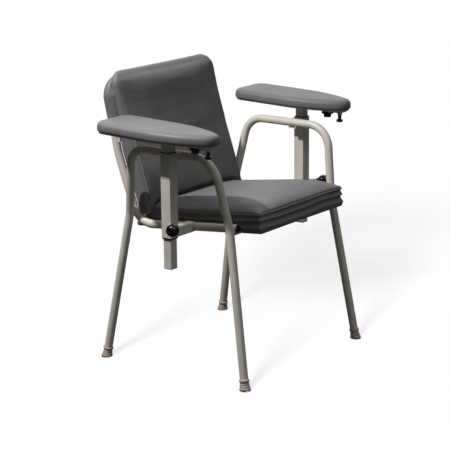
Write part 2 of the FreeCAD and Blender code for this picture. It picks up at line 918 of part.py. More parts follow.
# Height shares of the front cushion, with the shares of its thickness there.
back_thickness_shares = [
    (0.0, 0.82), (0.12, 0.93), (0.3, 0.99), (0.45, 1.0), (0.6, 0.935), (0.72, 0.82), (0.84, 0.73),
]
# Turn shares of the rounded top, from its start to its end, with the shares of the thickness.
back_top_shares = [(0.0, 0.67), (0.35, 0.63), (0.7, 0.54), (0.92, 0.36)]


def back_section(height, half, rear, side, crown, edge):
    """A cross-section of a back cushion, square to the uprights' line."""
    def at(x, forward):
        return back_point(x, height, forward)

    return Part.Wire([
        Part.makeLine(at(half, rear), at(-half, rear)),
        Part.makeLine(at(-half, rear), at(edge - half, side)),
        Part.Arc(at(edge - half, side), at(0, crown), at(half - edge, side)).toShape(),
        Part.makeLine(at(half - edge, side), at(half, rear)),
    ])


def back_front_levels():
    """Heights, half widths and thicknesses of the front cushion's cross-sections."""
    straight = back_high - back_corner - back_low
    levels = [(back_low + share * straight, back_width / 2, thickness * back_thickness)
              for share, thickness in back_thickness_shares]
    for turn, thickness in back_top_shares:
        angle = turn * math.pi / 2
        height = back_high - back_corner * (1 - math.sin(angle))
        half = back_width / 2 - back_corner * (1 - math.cos(angle))
        levels.append((height, half, thickness * back_thickness))
    return levels


def back_front_cushion():
    """The front cushion of the back, with its foot cut to lie on the seat's crown."""
    rear = back_offset + soft_gap
    sections = [back_section(height, half, rear, rear + thickness * back_side_share,
                             rear + thickness, back_edge_rounding)
                for height, half, thickness in back_front_levels()]
    cushion = Part.makeLoft(sections, True, True)
    cushion = cushion.cut(in_seat_plane(seat_body(soft_gap)))
    half = back_width / 2 - back_board_inset + soft_gap
    front = back_offset + back_board_thickness + soft_gap
    recess = back_sheet(half, back_board_low - soft_gap, back_board_high + soft_gap, back_offset, front)
    return cushion.cut(recess)


def back_sheet(half, low, high, rear, front):
    """A sheet that follows the uprights' line, between two distances in front of it."""
    low_end, high_end = recline_ends()
    middle = (low_end + high_end) / 2

    def side(forward):
        low_side = back_point(-half, low_end, forward)
        high_side = back_point(-half, high_end, forward)
        return [
            Part.makeLine(back_point(-half, low, forward), low_side),
            Part.Arc(low_side, back_point(-half, middle, forward), high_side).toShape(),
            Part.makeLine(high_side, back_point(-half, high, forward)),
        ]

    foot = Part.makeLine(back_point(-half, low, rear), back_point(-half, low, front))
    head = Part.makeLine(back_point(-half, high, rear), back_point(-half, high, front))
    outline = Part.Wire(Part.__sortEdges__(side(rear) + side(front) + [foot, head]))
    return Part.Face(outline).extrude(Vector(half * 2, 0, 0))


def back_screw_row(height):
    """Two screws through a back strap into the board: the shape that both pieces make room for."""
    rear = back_offset - strap_thickness
    pieces = []
    for screw_x in (-back_screw_x, back_screw_x):
        start = Vector(screw_x, -rear, 0)
        stem = Part.makeCylinder(screw_radius, strap_thickness + screw_bite, start, Vector(0, -1, 0))
        head = Part.makeCylinder(screw_head_radius, screw_head_height, start, Vector(0, 1, 0))
        pieces.append(stem.fuse(head).removeSplitter())
    return at_back(Part.makeCompound(pieces), height)


def back_screws():
    """The four screws of the back board."""
    rows = [back_screw_row(lower_back_strap_height), back_screw_row(upper_back_strap_height)]
    return Part.makeCompound([screw for row in rows for screw in row.Solids])


def back_board():
    half = back_width / 2 - back_board_inset
    front = back_offset + back_board_thickness
    board = back_sheet(half, back_board_low, back_board_high, back_offset, front)
    for screw in back_screws().Solids:
        board = board.cut(screw)
    return board


def seat_screws():
    """The four screws up through the seat straps into the seat board."""
    low = seat_bottom - strap_thickness
    pieces = []
    for screw_x in (-seat_screw_x, seat_screw_x):
        for screw_y in (front_strap_y, rear_strap_y):
            start = Vector(screw_x, screw_y, low)
            stem = Part.makeCylinder(screw_radius, strap_thickness + screw_bite, start)
            head = Part.makeCylinder(screw_head_radius, screw_head_height, start, -UPWARD)
            pieces.append(stem.fuse(head).removeSplitter())
    return in_seat_plane(Part.makeCompound(pieces))


# Height shares of the rear pad, with the shares of its depth behind the uprights there.
rear_pad_depth_shares = [(0.0, 0.7), (0.2, 0.9), (0.45, 1.0), (0.75, 0.96)]
# Turn shares of its rounded top, with the shares of that depth.
rear_pad_top_shares = [(0.0, 0.88), (0.3, 0.74), (0.6, 0.56), (0.85, 0.4)]


def rear_pad_section(height, half, depth):
    """A cross-section of the rear pad, square to the uprights' line."""
    front = back_offset - soft_gap
    side = -tube_radius / 2
    shoulder = -rear_pad_side * depth
    edge = rear_pad_edge
    crown = -rear_pad_crown * depth
    bend = edge * (1 - math.sqrt(0.5))
    lift = (shoulder - side) * (1 - math.sqrt(0.5))

    def at(x, forward):
        return back_point(x, height, forward)

    return Part.Wire([
        Part.makeLine(at(half, front), at(-half, front)),
        Part.makeLine(at(-half, front), at(-half, side)),
        Part.Arc(at(-half, side), at(bend - half, shoulder - lift), at(edge - half, shoulder)).toShape(),
        Part.Arc(at(edge - half, shoulder), at(0, crown), at(half - edge, shoulder)).toShape(),
        Part.Arc(at(half - edge, shoulder), at(half - bend, shoulder - lift), at(half, side)).toShape(),
        Part.makeLine(at(half, side), at(half, front)),
    ])


def rear_pad():
    """The pad behind the uprights, with channels that the uprights and the hoop run in."""
    straight = rear_pad_high - rear_pad_corner - rear_pad_low
    sections = [rear_pad_section(rear_pad_low + share * straight, rear_pad_width / 2, depth)
                for share, depth in rear_pad_depth_shares]
    for turn, depth in rear_pad_top_shares:
        angle = turn * math.pi / 2
        height = rear_pad_high - rear_pad_corner * (1 - math.sin(angle))
        half = rear_pad_width / 2 - rear_pad_corner * (1 - math.cos(angle))
        sections.append(rear_pad_section(height, half, depth))
    pad = Part.makeLoft(sections, True, True)
    below = rear_pad_low - cut_overrun
    path = hoop_points()
    path[0] = back_point(rail_x, below, 0)
    path[-1] = back_point(-rail_x, below, 0)
    return pad.cut(bent_bar(path, [hoop_bend, hoop_bend], tube_radius + soft_gap))


def rail_plugs():
    """The domed plugs in the open front ends of both seat rails."""
    start = rail_point(rail_x, rail_front_y)
    ahead = (start - rail_point(rail_x, 0)).normalize()
    stem = Part.makeCylinder(tube_radius - tube_wall, rail_plug_depth, start, -ahead)
    head = Part.makeCone(tube_radius, tube_radius - rail_plug_head, rail_plug_head, start, ahead)
    plug = stem.fuse(head).removeSplitter()
    return Part.makeCompound([plug, mirrored(plug)])


# Every piece, by name

middle_pieces = {
    "seat_rail_plugs": rail_plugs,
    "seat_straps": seat_straps,
    "back_straps": back_straps,
    "back_top_hoop": top_hoop,
    "seat_board": seat_board,
    "seat_cushion": seat_cushion,
    "seat_screws": seat_screws,
    "back_board": back_board,
    "back_front_cushion": back_front_cushion,
    "back_rear_pad": rear_pad,
    "back_screws": back_screws,
}

paired_pieces = {
    "lower_brackets": lower_bracket,
    "upper_brackets": upper_bracket,
    "sleeve_glides": glides,
    "clamp_bosses": clamp_boss,
    "clamp_slugs": clamp_slug,
}

left_pieces = {
    "side_frame": side_frame,
    "seat_back_rail": seat_rail,
    "post_sleeve": sleeve,
    "clamp_stud": clamp_stud,
    "clamp_ball_knob": clamp_ball,
    "arm_post": arm_post,
    "arm_post_plug": post_plug,
}

tilted_pieces = {
    "carrier_bar": carrier_bar,
    "plunger_housing": plunger_housing,
    "plunger_pin": plunger_pin,
    "plunger_spring": plunger_spring,
    "plunger_pull": plunger_pull,
    "pivot_bolt": pivot_bolt,
    "pivot_washer": pivot_washer,
    "pivot_knob": clamp_knob,
    "pad_base_plate": base_plate,
    "pad_screws": plate_screws,
    "pad_board": pad_board,
    "arm_pad_cushion": pad_cushion,
}


def save(shape, name):
    shape.exportStep("parts/" + name + ".step")


def save_pair(piece, name):
    save(piece, "left_" + name)
    save(mirrored(piece), "right_" + name)


def make_all():
    os.makedirs("parts", exist_ok=True)
    for name, make in middle_pieces.items():
        save(make(), name)
    for name, make in paired_pieces.items():
        piece = make()
        save(Part.makeCompound([piece, mirrored(piece)]), name)
    for name, make in left_pieces.items():
        save_pair(make(), name)
    for name, make in tilted_pieces.items():
        save_pair(tilted(make()), name)
    for end, foot_y, slope in (("front", front_foot_y, front_slope), ("rear", rear_foot_y, -rear_slope)):
        foot = rubber_foot(foot_y, slope)
        save(foot, end + "_left_foot")
        save(mirrored(foot), end + "_right_foot")


make_all()
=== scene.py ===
# %% [markdown]
# # A phlebotomy chair, dressed
# A nurse draws blood at this chair. Bent steel tube carries a box seat and a padded back,
# and each armrest stands on a square post that slides in a clamped sleeve.
# The frame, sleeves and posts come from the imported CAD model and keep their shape.
# This script gives them their finish, and makes anew what a lathe, a mould or an upholsterer shapes softly:
# the cushions, the ball knobs and the rubber feet.

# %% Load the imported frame
import json
import math

import bpy
import numpy as np
from mathutils import Matrix


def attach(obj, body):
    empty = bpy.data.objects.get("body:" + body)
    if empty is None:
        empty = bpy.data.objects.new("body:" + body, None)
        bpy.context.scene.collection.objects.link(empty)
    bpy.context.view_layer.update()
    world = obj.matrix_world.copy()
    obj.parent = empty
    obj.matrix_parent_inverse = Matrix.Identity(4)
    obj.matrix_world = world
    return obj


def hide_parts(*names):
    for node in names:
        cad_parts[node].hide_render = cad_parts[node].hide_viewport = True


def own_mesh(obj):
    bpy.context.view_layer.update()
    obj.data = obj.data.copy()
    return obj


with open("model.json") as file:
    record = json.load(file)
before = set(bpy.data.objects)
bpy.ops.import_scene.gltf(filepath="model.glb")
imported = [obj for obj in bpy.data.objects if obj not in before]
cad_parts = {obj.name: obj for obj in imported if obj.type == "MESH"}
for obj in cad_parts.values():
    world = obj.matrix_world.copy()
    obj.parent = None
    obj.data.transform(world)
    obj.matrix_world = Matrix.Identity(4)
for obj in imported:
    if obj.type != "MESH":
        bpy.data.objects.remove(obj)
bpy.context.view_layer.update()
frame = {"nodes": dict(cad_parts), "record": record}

MM = 0.001
nodes = frame["nodes"]

# %% [markdown]
# ## Helpers for meshes
# Every new surface is worked out as arrays of points. One helper makes an object of any points and faces,
# one numbers the quads of a grid that may close on itself, and one turns a profile as a lathe does.
# Sizes are written in millimetres, as in a workshop, and turned into metres once, here.

# %% Mesh helpers
def new_piece(name, points_mm, faces, material, body):
    """A mesh object from points in millimetres in the row frame, riding on a body."""
    mesh = bpy.data.meshes.new(name)
    mesh.from_pydata((np.asarray(points_mm) * MM).tolist(), [], [list(map(int, face)) for face in faces])
    mesh.materials.append(material)
    mesh.polygons.foreach_set("use_smooth", np.full(len(mesh.polygons), True))
    mesh.update()
    piece = bpy.data.objects.new(name, mesh)
    bpy.context.scene.collection.objects.link(piece)
    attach(piece, body)
    return piece


def grid_faces(rows, columns, closed_columns=False):
    """Quads of a grid of rows x columns points: each joins a point to its next row and next column."""
    r = np.arange(rows - 1)
    c = np.arange(columns if closed_columns else columns - 1)
    r0, c0 = np.meshgrid(r, c, indexing="ij")
    r1, c1 = r0 + 1, (c0 + 1) % columns
    corners = [r0 * columns + c0, r0 * columns + c1, r1 * columns + c1, r1 * columns + c0]
    return np.stack(corners, -1).reshape(-1, 4)


def turned(profile, centre, axis, steps):
    """A lathe shape: each profile point (radius, distance along the axis) becomes a ring round the axis.
    Both ends of the profile lie on the axis, so the surface is closed. Returns points and faces."""
    profile = np.asarray(profile, float)
    axis = np.asarray(axis, float) / np.linalg.norm(axis)
    side = np.cross(axis, [0.0, 0.0, 1.0] if abs(axis[2]) < 0.9 else [1.0, 0.0, 0.0])
    side /= np.linalg.norm(side)
    other = np.cross(axis, side)
    angle = np.arange(steps) * 2 * np.pi / steps
    ring = np.cos(angle)[:, None] * side + np.sin(angle)[:, None] * other
    body = profile[1:-1]
    rings = np.asarray(centre) + body[:, None, 1:] * axis + body[:, None, :1] * ring
    ends = np.asarray(centre) + profile[[0, -1], 1:] * axis
    points = np.concatenate([rings.reshape(-1, 3), ends])
    quads = grid_faces(len(body), steps, closed_columns=True)
    first = np.arange(steps)
    last = first + (len(body) - 1) * steps
    after = (first + 1) % steps
    foot = np.stack([np.full(steps, len(points) - 2), after, first], -1)
    head = np.stack([np.full(steps, len(points) - 1), last, after + (len(body) - 1) * steps], -1)
    return points, quads.tolist() + foot.tolist() + head.tolist()


# %% [markdown]
# ## Helpers for materials
# Colours are written as the sRGB hex values that a paint chart would give, and one function
# turns them into the linear values that the shader works in.
# Pattern scales are worked out from a real size: `per(mm)` is the texture scale
# whose pattern repeats about once in that many millimetres.

# %% Material helpers
def linear(hex_colour):
    """sRGB hex to linear RGBA: a channel c is divided by 12.92 up to 0.04045,
    and above that it becomes ((c + 0.055) / 1.055) to the power 2.4."""
    channels = np.array([int(hex_colour[i:i + 2], 16) / 255 for i in (1, 3, 5)])
    low, high = channels / 12.92, ((channels + 0.055) / 1.055) ** 2.4
    return (*np.where(channels <= 0.04045, low, high).tolist(), 1.0)


def per(mm):
    """Texture scale of a pattern whose features are that many millimetres apart: one over the size in metres."""
    return 1 / (mm * MM)


def add(tree, kind, sockets=None, **settings):
    """Adds a node, sets its properties, and fills its sockets with values or with other nodes' outputs."""
    node = tree.nodes.new(kind)
    for name, value in settings.items():
        setattr(node, name, value)
    for socket, value in (sockets or {}).items():
        if isinstance(value, bpy.types.NodeSocket):
            tree.links.new(value, node.inputs[socket])
        else:
            node.inputs[socket].default_value = value
    return node


def new_material(name):
    """An empty node material. Returns it with its tree and its object coordinates."""
    material = bpy.data.materials.new(name)
    material.use_nodes = True
    tree = material.node_tree
    tree.nodes.clear()
    place = add(tree, "ShaderNodeTexCoord").outputs["Object"]
    return material, tree, place


def finish_material(tree, sockets):
    """Ends a material with one Principled shader."""
    shader = add(tree, "ShaderNodeBsdfPrincipled", sockets)
    add(tree, "ShaderNodeOutputMaterial", {"Surface": shader.outputs[0]})


# %% [markdown]
# ## Powder-coated steel
# The tubes are mild steel with a baked polyester powder coat in a warm bone white.
# Powder melts into a skin that is never quite flat: it keeps a fine orange peel, and settles a shade
# darker where it pools. So the colour wanders by a few percent, and a shallow bump breaks up the highlights.
# Real peel is 1 to 2 mm across, finer than a pixel of the photograph, so it is drawn at 3 mm.

# %% Material: bone powder coat
def bone_powder_coat():
    """Colour and gloss follow a slow cloud noise, and the bump a fine one."""
    material, tree, place = new_material("bone_powder_coat")
    peel_mm, cloud_mm = 3.0, 90.0
    cloud = add(tree, "ShaderNodeTexNoise", {"Vector": place, "Scale": per(cloud_mm), "Detail": 3.0})
    colour = add(tree, "ShaderNodeValToRGB", {"Fac": cloud.outputs["Fac"]})
    colour.color_ramp.elements[0].color = linear("#d3cdc0")
    colour.color_ramp.elements[1].color = linear("#dcd7cb")
    colour.color_ramp.elements[0].position, colour.color_ramp.elements[1].position = 0.35, 0.65
    peel = add(tree, "ShaderNodeTexNoise", {"Vector": place, "Scale": per(peel_mm), "Detail": 1.0})
    bump = add(tree, "ShaderNodeBump", {"Height": peel.outputs["Fac"], "Strength": 0.35, "Distance": 0.0001})
    rough = add(tree, "ShaderNodeMapRange", {"Value": cloud.outputs["Fac"], "To Min": 0.34, "To Max": 0.42})
    finish_material(tree, {
        "Base Color": colour.outputs["Color"], "Roughness": rough.outputs["Result"],
        "IOR": 1.5, "Normal": bump.outputs["Normal"]})
    return material


# %% [markdown]
# ## Upholstery vinyl
# The covers are expanded PVC on a knitted backing, embossed with a fine leather grain: charcoal grey,
# with a soft sheen that makes level panels look much paler than upright ones.
# The grain is a Voronoi network of pebbles with shallow valleys between them, over a slower
# noise for the slight unevenness of foam under a stretched skin. Real pebbles are under 1 mm; here 1.6 mm.

# %% Material: grey vinyl
def grey_vinyl():
    """Colour follows a cloud noise. Gloss and bump follow the valleys between pebbles, and a slow ripple
    is added to the bump."""
    material, tree, place = new_material("grey_vinyl")
    pebble_mm, ripple_mm, cloud_mm = 1.6, 14.0, 60.0
    cloud = add(tree, "ShaderNodeTexNoise", {"Vector": place, "Scale": per(cloud_mm), "Detail": 4.0})
    colour = add(tree, "ShaderNodeValToRGB", {"Fac": cloud.outputs["Fac"]})
    colour.color_ramp.elements[0].color = linear("#6e6e6f")
    colour.color_ramp.elements[1].color = linear("#767677")
    colour.color_ramp.elements[0].position, colour.color_ramp.elements[1].position = 0.3, 0.7
    pebble = add(tree, "ShaderNodeTexVoronoi", {"Vector": place, "Scale": per(pebble_mm)},
                 feature="DISTANCE_TO_EDGE")
    valley = add(tree, "ShaderNodeMapRange", {"Value": pebble.outputs["Distance"], "From Max": 0.25},
                 interpolation_type="SMOOTHSTEP")
    grain = add(tree, "ShaderNodeBump", {
        "Height": valley.outputs["Result"], "Strength": 0.3, "Distance": 0.0001})
    ripple = add(tree, "ShaderNodeTexNoise", {"Vector": place, "Scale": per(ripple_mm), "Detail": 2.0})
    bump = add(tree, "ShaderNodeBump", {
        "Height": ripple.outputs["Fac"], "Strength": 0.25, "Distance": 0.0006,
        "Normal": grain.outputs["Normal"]})
    rough = add(tree, "ShaderNodeMapRange", {
        "Value": valley.outputs["Result"], "To Min": 0.52, "To Max": 0.44})
    finish_material(tree, {
        "Base Color": colour.outputs["Color"], "Roughness": rough.outputs["Result"],
        "IOR": 1.5, "Specular IOR Level": 0.35, "Normal": bump.outputs["Normal"]})
    return material


# %% [markdown]
# ## The small parts' finishes
# Knobs are glossy phenolic, the liners and plugs matt nylon, fasteners zinc-plated steel,
# the tips of the legs grey-brown rubber, and the boards inside the cushions birch plywood.
# Each gets one pattern at its own scale: mould flow in the plastics, drawing marks in the metal,
# a dusty mottle in the rubber, and long grain in the wood.

# %% Materials: plastics, steel, rubber, plywood
def plain_finish(name, dark, light, pattern_mm, roughness, bump_strength, metallic=0.0, stretch=(1, 1, 1)):
    """A finish whose colour, gloss and bump all follow one noise pattern, stretched along chosen axes."""
    material, tree, place = new_material(name)
    mapped = add(tree, "ShaderNodeMapping", {"Vector": place, "Scale": stretch})
    noise = add(tree, "ShaderNodeTexNoise", {
        "Vector": mapped.outputs[0], "Scale": per(pattern_mm), "Detail": 4.0})
    colour = add(tree, "ShaderNodeValToRGB", {"Fac": noise.outputs["Fac"]})
    colour.color_ramp.elements[0].color = linear(dark)
    colour.color_ramp.elements[1].color = linear(light)
    colour.color_ramp.elements[0].position, colour.color_ramp.elements[1].position = 0.3, 0.7
    bump = add(tree, "ShaderNodeBump", {
        "Height": noise.outputs["Fac"], "Strength": bump_strength, "Distance": 0.0002})
    low, high = roughness
    rough = add(tree, "ShaderNodeMapRange", {"Value": noise.outputs["Fac"], "To Min": low, "To Max": high})
    finish_material(tree, {
        "Base Color": colour.outputs["Color"], "Roughness": rough.outputs["Result"],
        "Metallic": metallic, "Normal": bump.outputs["Normal"]})
    return material


finishes = {
    "frame": bone_powder_coat(),
    "vinyl": grey_vinyl(),
    "knob": plain_finish("black_phenolic", "#070708", "#0b0b0c", 12.0, (0.08, 0.14), 0.02),
    "black_plastic": plain_finish("black_nylon", "#131314", "#1b1b1c", 4.0, (0.45, 0.6), 0.15),
    "steel": plain_finish("zinc_plated_steel", "#b9bbb9", "#d0d1cd", 3.0, (0.24, 0.4), 0.08, 1.0, (4, 4, 1)),
    "rubber": plain_finish("grey_brown_rubber", "#b4a79c", "#c4b8ad", 5.0, (0.62, 0.8), 0.3),
    "board": plain_finish("birch_plywood", "#a9835a", "#c7a476", 9.0, (0.5, 0.65), 0.1, 0.0, (0.12, 1, 1)),
}
slot_of = {part["node"]: part["material_slot"] for part in frame["record"]["subparts"]}
for name, node in nodes.items():
    for place in node.material_slots:
        place.material = finishes[slot_of[name]]
print("finishes:", ", ".join(finishes))

# %% [markdown]
# ## Cushions: one closed grid each
# An upholsterer cuts two panels and a strip of boxing to go round between them, sews them along two seams,
# and pulls the cover over foam on a board. The mesh is laid out the same way: a lower panel, rings of boxing,
# and an upper panel, all quads, so that folds can run along the seams.
# The outline is four lines that meet in the middle of the corners. A panel is a Coons patch between them:
# each point is a blend of the two sides across and the two sides along, less a blend of the four corners.

# %% Cushion layout helpers
arc_points, side_points = 14, 60


def resampled(line, count):
    """count + 1 points at equal steps of length along a line of points."""
    run = np.concatenate([[0], np.cumsum(np.linalg.norm(np.diff(line, axis=0), axis=1))])
    at = np.linspace(0, run[-1], count + 1)
    return np.stack([np.interp(at, run, line[:, k]) for k in (0, 1)], -1)


def arc(centre, radius, start, end):
    """Points on a circle between two angles in degrees."""
    turn = np.radians(np.linspace(start, end, arc_points))
    return np.array(centre) + radius * np.stack([np.cos(turn), np.sin(turn)], -1)


def box_sides(half, front, rear, radii, pull):
    """Four lines round a box in plan, each from mid-corner to mid-corner: half an arc, a side drawn in by
    a parabola of depth pull, and half an arc. They run counter-clockwise from the front left corner."""
    centres = [(radii[0] - half, front + radii[0]), (half - radii[1], front + radii[1]),
               (half - radii[2], rear - radii[2]), (radii[3] - half, rear - radii[3])]
    sides = []
    for k in range(4):
        facing = 270 + 90 * k
        start = arc(centres[k], radii[k], facing - 45, facing)
        end = arc(centres[(k + 1) % 4], radii[(k + 1) % 4], facing, facing + 45)
        share = np.linspace(0, 1, side_points)[1:-1, None]
        outward = np.array([np.cos(np.radians(facing)), np.sin(np.radians(facing))])
        line = start[-1] * (1 - share) + end[0] * share - outward * pull * 4 * share * (1 - share)
        sides.append(np.concatenate([start, line, end]))
    return sides


def coons(front, right, back, left):
    """A panel between four border lines that run counter-clockwise. Returns rows from front to back."""
    back, left = back[::-1], left[::-1]
    a = np.linspace(0, 1, len(front))[None, :, None]
    b = np.linspace(0, 1, len(right))[:, None, None]
    across = (1 - a) * left[:, None] + a * right[:, None]
    along = (1 - b) * front[None] + b * back[None]
    corners = ((1 - a) * (1 - b) * front[0] + a * (1 - b) * front[-1]
               + (1 - a) * b * back[0] + a * b * back[-1])
    return across + along - corners


def dome(height, power, roll=0.0):
    """How far a panel rises over its border at places a, b from -1 to 1 across and along it:
    height times (1 - |a|^power) (1 - |b|^power), and more towards the front by the share roll of b."""
    return lambda a, b: height * (1 - np.abs(a) ** power) * (1 - np.abs(b) ** power) * (1 - roll * b)


def cushion_grid(sides, counts, levels, foot, top, rise):
    """Points of a cushion in its own flat frame, as three arrays: lower panel, boxing rings, upper panel.
    A ring is the outline moved inwards by the level's inset, at a share of the height from foot to top.
    The upper panel rises over its border as the function rise says."""
    nu, nv = counts
    lines = [resampled(side, n) for side, n in zip(sides, (nu, nv, nu, nv))]
    rim = np.concatenate([line[:-1] for line in lines])
    along = np.roll(rim, -1, axis=0) - np.roll(rim, 1, axis=0)
    along /= np.linalg.norm(along, axis=1)[:, None]
    outward = np.stack([along[:, 1], -along[:, 0]], -1)
    starts = np.cumsum([0, nu, nv, nu, nv])

    def panel(inset):
        ring = rim - outward * inset
        closed = np.concatenate([ring, ring[:1]])
        return coons(*[closed[a:b + 1] for a, b in zip(starts, starts[1:])])

    levels = np.asarray(levels, float)
    share = levels[:, 0][:, None, None]
    heights = np.broadcast_to(foot + share * (top - foot), (len(levels), len(rim), 1))
    rings = np.concatenate([rim - outward * levels[:, 1][:, None, None], heights], -1)
    height = top + rise(np.linspace(-1, 1, nu + 1)[None], np.linspace(-1, 1, nv + 1)[:, None])
    upper = np.concatenate([panel(levels[-1, 1]), height[:, :, None]], -1)
    lower = np.concatenate([panel(levels[0, 1]), np.full((nv + 1, nu + 1, 1), foot)], -1)
    return lower, rings, upper


def panel_border(rows, columns):
    """Numbers of the points round a panel's edge, counter-clockwise from its first corner."""
    number = np.arange(rows * columns).reshape(rows, columns)
    return np.concatenate([number[0, :-1], number[:-1, -1], number[-1, :0:-1], number[:0:-1, 0]])


def joined(lower, rings, upper):
    """The three arrays as one list of points and quads. The first and last rings are the panels' borders."""
    rows, columns = lower.shape[:2]
    border = panel_border(rows, columns)
    middle = rows * columns + np.arange((len(rings) - 2) * len(border)).reshape(-1, len(border))
    start = rows * columns + middle.size
    ring = np.concatenate([border[None], middle, start + border[None]])
    points = np.concatenate([part.reshape(-1, 3) for part in (lower, rings[1:-1], upper)])
    panel = grid_faces(rows, columns)
    boxing = ring.ravel()[grid_faces(len(rings), len(border), closed_columns=True)]
    return points, np.concatenate([panel[:, ::-1], boxing, start + panel])


# %% [markdown]
# ## Letting the cover swell
# Foam pushes its cover outwards, and the cover is held at its seams. Blender's Cloth does this:
# the coarse twin of a cushion is held at its foot and along its seams, blown up for twenty frames with
# gravity off, and what it moved is kept, up to a cap. The fine cushion takes that movement over,
# read between the coarse points, so its sewn seams and folds stay as crisp as they were laid out.

# %% Swelling helpers
cloth_mass, cloth_bending, swell_frames = 0.05, 0.6, 20


def swell(name, points, faces, hold, pressure, cap_mm):
    """How far each point moves, in millimetres: Cloth under pressure for 20 frames, held by the weights."""
    mesh = bpy.data.meshes.new(name)
    mesh.from_pydata((points * MM).tolist(), [], faces.tolist())
    twin = bpy.data.objects.new(name, mesh)
    bpy.context.scene.collection.objects.link(twin)
    group = twin.vertex_groups.new(name="held")
    steps = np.round(hold, 1)
    for weight in np.unique(steps):
        group.add(np.flatnonzero(steps == weight).tolist(), float(weight), "REPLACE")
    cloth = twin.modifiers.new("swell", "CLOTH")
    cloth.settings.quality = 5
    cloth.settings.mass = cloth_mass
    cloth.settings.vertex_group_mass = "held"
    cloth.settings.bending_stiffness = cloth_bending
    cloth.settings.use_pressure = True
    cloth.settings.uniform_pressure_force = pressure
    cloth.settings.effector_weights.gravity = 0
    cloth.collision_settings.use_collision = False
    for frame_number in range(1, swell_frames + 1):
        bpy.context.scene.frame_set(frame_number)
    ready = twin.evaluated_get(bpy.context.evaluated_depsgraph_get())
    after = np.empty(len(points) * 3)
    ready.data.vertices.foreach_get("co", after)
    bpy.context.scene.frame_set(1)
    bpy.data.objects.remove(twin)
    moved = after.reshape(-1, 3) / MM - points
    length = np.linalg.norm(moved, axis=1)[:, None]
    print(name, "swelled by up to", round(float(length.max()), 1), "mm, kept up to", cap_mm)
    return moved * np.minimum(1, cap_mm / np.maximum(length, 1e-9))


def between(values, rows, columns):
    """Values of a grid read at fractional rows and columns, blended between the four grid points around."""
    r = np.clip(np.floor(rows).astype(int), 0, values.shape[0] - 2)[:, None]
    c = np.clip(np.floor(columns).astype(int), 0, values.shape[1] - 2)[None]
    fr, fc = (rows[:, None] - r)[..., None], (columns[None] - c)[..., None]
    return ((values[r, c] * (1 - fc) + values[r, c + 1] * fc) * (1 - fr)
            + (values[r + 1, c] * (1 - fc) + values[r + 1, c + 1] * fc) * fr)


def swollen(name, layout, counts, coarse_levels, fine_levels, place, hold, pressure, cap_mm):
    """A cushion's fine points and quads: laid out, put in place, and moved as its coarse twin moves."""
    coarse = layout(counts, coarse_levels)
    fine_counts = (counts[0] * 2, counts[1] * 2)
    fine = layout(fine_counts, fine_levels)
    points, faces = joined(*coarse)
    weights = joined(*[np.repeat(hold(part, where)[..., None], 3, -1)
                       for part, where in zip(coarse, ("lower", "boxing", "upper"))])[0][:, 0]
    moved = swell(name, place(points), faces, weights, pressure, cap_mm)
    rows, columns = coarse[0].shape[:2]
    panel = rows * columns
    border = panel_border(rows, columns)
    lower, upper = moved[:panel].reshape(rows, columns, 3), moved[-panel:].reshape(rows, columns, 3)
    middle = moved[panel:-panel].reshape(-1, len(border), 3)
    rings = np.concatenate([moved[:panel][border][None], middle, moved[-panel:][border][None]])
    rings = np.concatenate([rings, rings[:, :1]], axis=1)
    at_row, at_column = np.arange(fine_counts[1] + 1) / 2, np.arange(fine_counts[0] + 1) / 2
    heights = np.linspace(0, len(coarse_levels) - 1, len(fine_levels))
    shift = joined(between(lower, at_row, at_column),
                   between(rings, heights, np.arange(len(border) * 2) / 2),
                   between(upper, at_row, at_column))[0]
    points, faces = joined(*fine)
    return place(points) + shift, faces


def smooth_levels(levels, count):
    """count levels at even steps along a smooth curve through the given ones. Each stretch is a cubic
    whose slope at a given level is the harmonic mean of the slopes on its two sides, or level at a turn."""
    t, inset = np.asarray(levels, float).T
    step = np.diff(t)
    slope = np.diff(inset) / step
    turn = slope[:-1] * slope[1:] <= 0
    mean = np.where(turn, 0, 2 * slope[:-1] * slope[1:] / np.where(turn, 1, slope[:-1] + slope[1:]))
    slopes = np.concatenate([slope[:1], mean, slope[-1:]])
    at = np.linspace(0, 1, count)
    k = np.clip(np.searchsorted(t, at, "right") - 1, 0, len(step) - 1)
    s = (at - t[k]) / step[k]
    value = (inset[k] * (1 + 2 * s) * (1 - s) ** 2 + inset[k + 1] * s * s * (3 - 2 * s)
             + step[k] * s * (1 - s) * (slopes[k] * (1 - s) - slopes[k + 1] * s))
    return np.stack([at, value], -1)


# %% [markdown]
# ## The seat
# The seat is a box cushion: a crowned top panel, fuller in front, and boxing about 53 mm high. The strip has
# slackened with use, so it hangs in folds under the top seam: each fold slopes out to a lip and tucks in
# below it, and the folds wander as they go round. The profile gives one section of them, and two waves
# along the outline move it up and down.
# The whole cushion lies in the plane of the rails, which falls 5.8 degrees towards the back.

# %% The seat's frame and layout
seat_fall = math.radians(5.8)
rail_height = 390.1


def in_seat_plane(points):
    """Turns points about X by the seat's fall and lifts them to the rails' height."""
    x, y, z = np.moveaxis(points, -1, 0)
    return np.stack([x, y * math.cos(seat_fall) + z * math.sin(seat_fall),
                     z * math.cos(seat_fall) - y * math.sin(seat_fall) + rail_height], -1)


